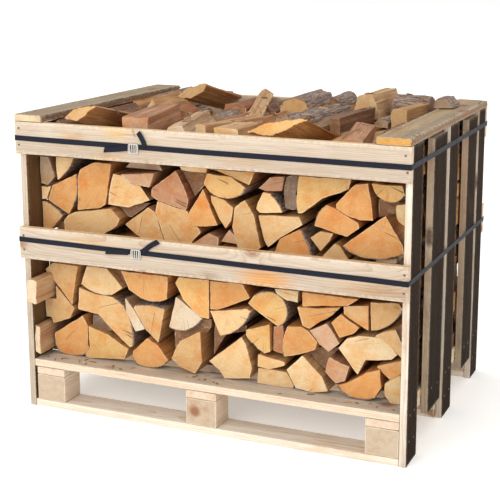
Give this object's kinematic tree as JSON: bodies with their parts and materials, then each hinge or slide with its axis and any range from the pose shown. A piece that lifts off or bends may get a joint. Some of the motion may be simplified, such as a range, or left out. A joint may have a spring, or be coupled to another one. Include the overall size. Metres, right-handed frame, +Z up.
{
  "type": "firewood crate",
  "caption": "Pallet crate with boarded sides and open slatted front, filled with split firewood logs and bound by two plastic straps with wire buckles.",
  "frame": {"origin": "centre of the middle skid's underside, midway between the side boards, on the surface it stands on", "axes": "+Z up, front towards -Y, X along the long front"},
  "size_m": [1.2466, 0.9156, 0.9962],
  "materials": {
    "pale_pine": "rough-sawn fresh softwood, pale cream with faint grain, knots and waney edges",
    "shaded_pine": "rough-sawn upright side boards, brown-grey on their outer faces",
    "grey_pine": "weathered grey-brown sawn board with open grain",
    "split_wood": "split hardwood: tan to orange cut ends, fibrous split faces, grey-brown bark",
    "bark_wood": "split hardwood lying bark side up, ridged grey-brown bark",
    "strap_plastic": "dark blue-black polyester strapping with a fine lengthwise rib",
    "zinc_wire": "galvanised wire, dull"
  },
  "bodies": {
    "root": {"block_front_left": "pale_pine", "block_front_middle": "pale_pine", "block_front_right": "pale_pine", "block_middle_left": "pale_pine", "block_middle_middle": "pale_pine", "block_middle_right": "pale_pine", "block_rear_left": "pale_pine", "block_rear_middle": "pale_pine", "block_rear_right": "pale_pine", "deck_board_1": "pale_pine", "deck_board_2": "pale_pine", "deck_board_3": "pale_pine", "deck_board_4": "pale_pine", "deck_board_5": "pale_pine", "front_log_rank": "split_wood", "front_middle_slat": "pale_pine", "front_top_slat": "pale_pine", "left_cap": "grey_pine", "left_front_infill": "shaded_pine", "left_front_post": "shaded_pine", "left_middle_post": "shaded_pine", "left_rear_infill": "shaded_pine", "left_rear_post": "shaded_pine", "lower_buckle": "zinc_wire", "lower_strap": "strap_plastic", "proud_log": "split_wood", "proud_stick": "split_wood", "rear_log_rank": "split_wood", "rear_middle_slat": "pale_pine", "rear_top_slat": "pale_pine", "right_cap": "grey_pine", "right_front_infill": "shaded_pine", "right_front_post": "shaded_pine", "right_middle_post": "shaded_pine", "right_rear_infill": "shaded_pine", "right_rear_post": "shaded_pine", "skid_front": "pale_pine", "skid_middle": "pale_pine", "skid_rear": "pale_pine", "stringer_left": "pale_pine", "stringer_middle": "pale_pine", "stringer_right": "pale_pine", "top_log_01": "split_wood", "top_log_02": "split_wood", "top_log_03": "split_wood", "top_log_04": "split_wood", "top_log_05": "split_wood", "top_log_06": "split_wood", "top_log_07": "split_wood", "top_log_08": "bark_wood", "top_log_09": "split_wood", "top_log_10": "split_wood", "top_log_11": "split_wood", "top_log_12": "bark_wood", "top_log_13": "bark_wood", "top_log_14": "split_wood", "top_log_15": "bark_wood", "top_log_16": "bark_wood", "upper_buckle": "zinc_wire", "upper_strap": "strap_plastic"}
  },
  "joints": []
}
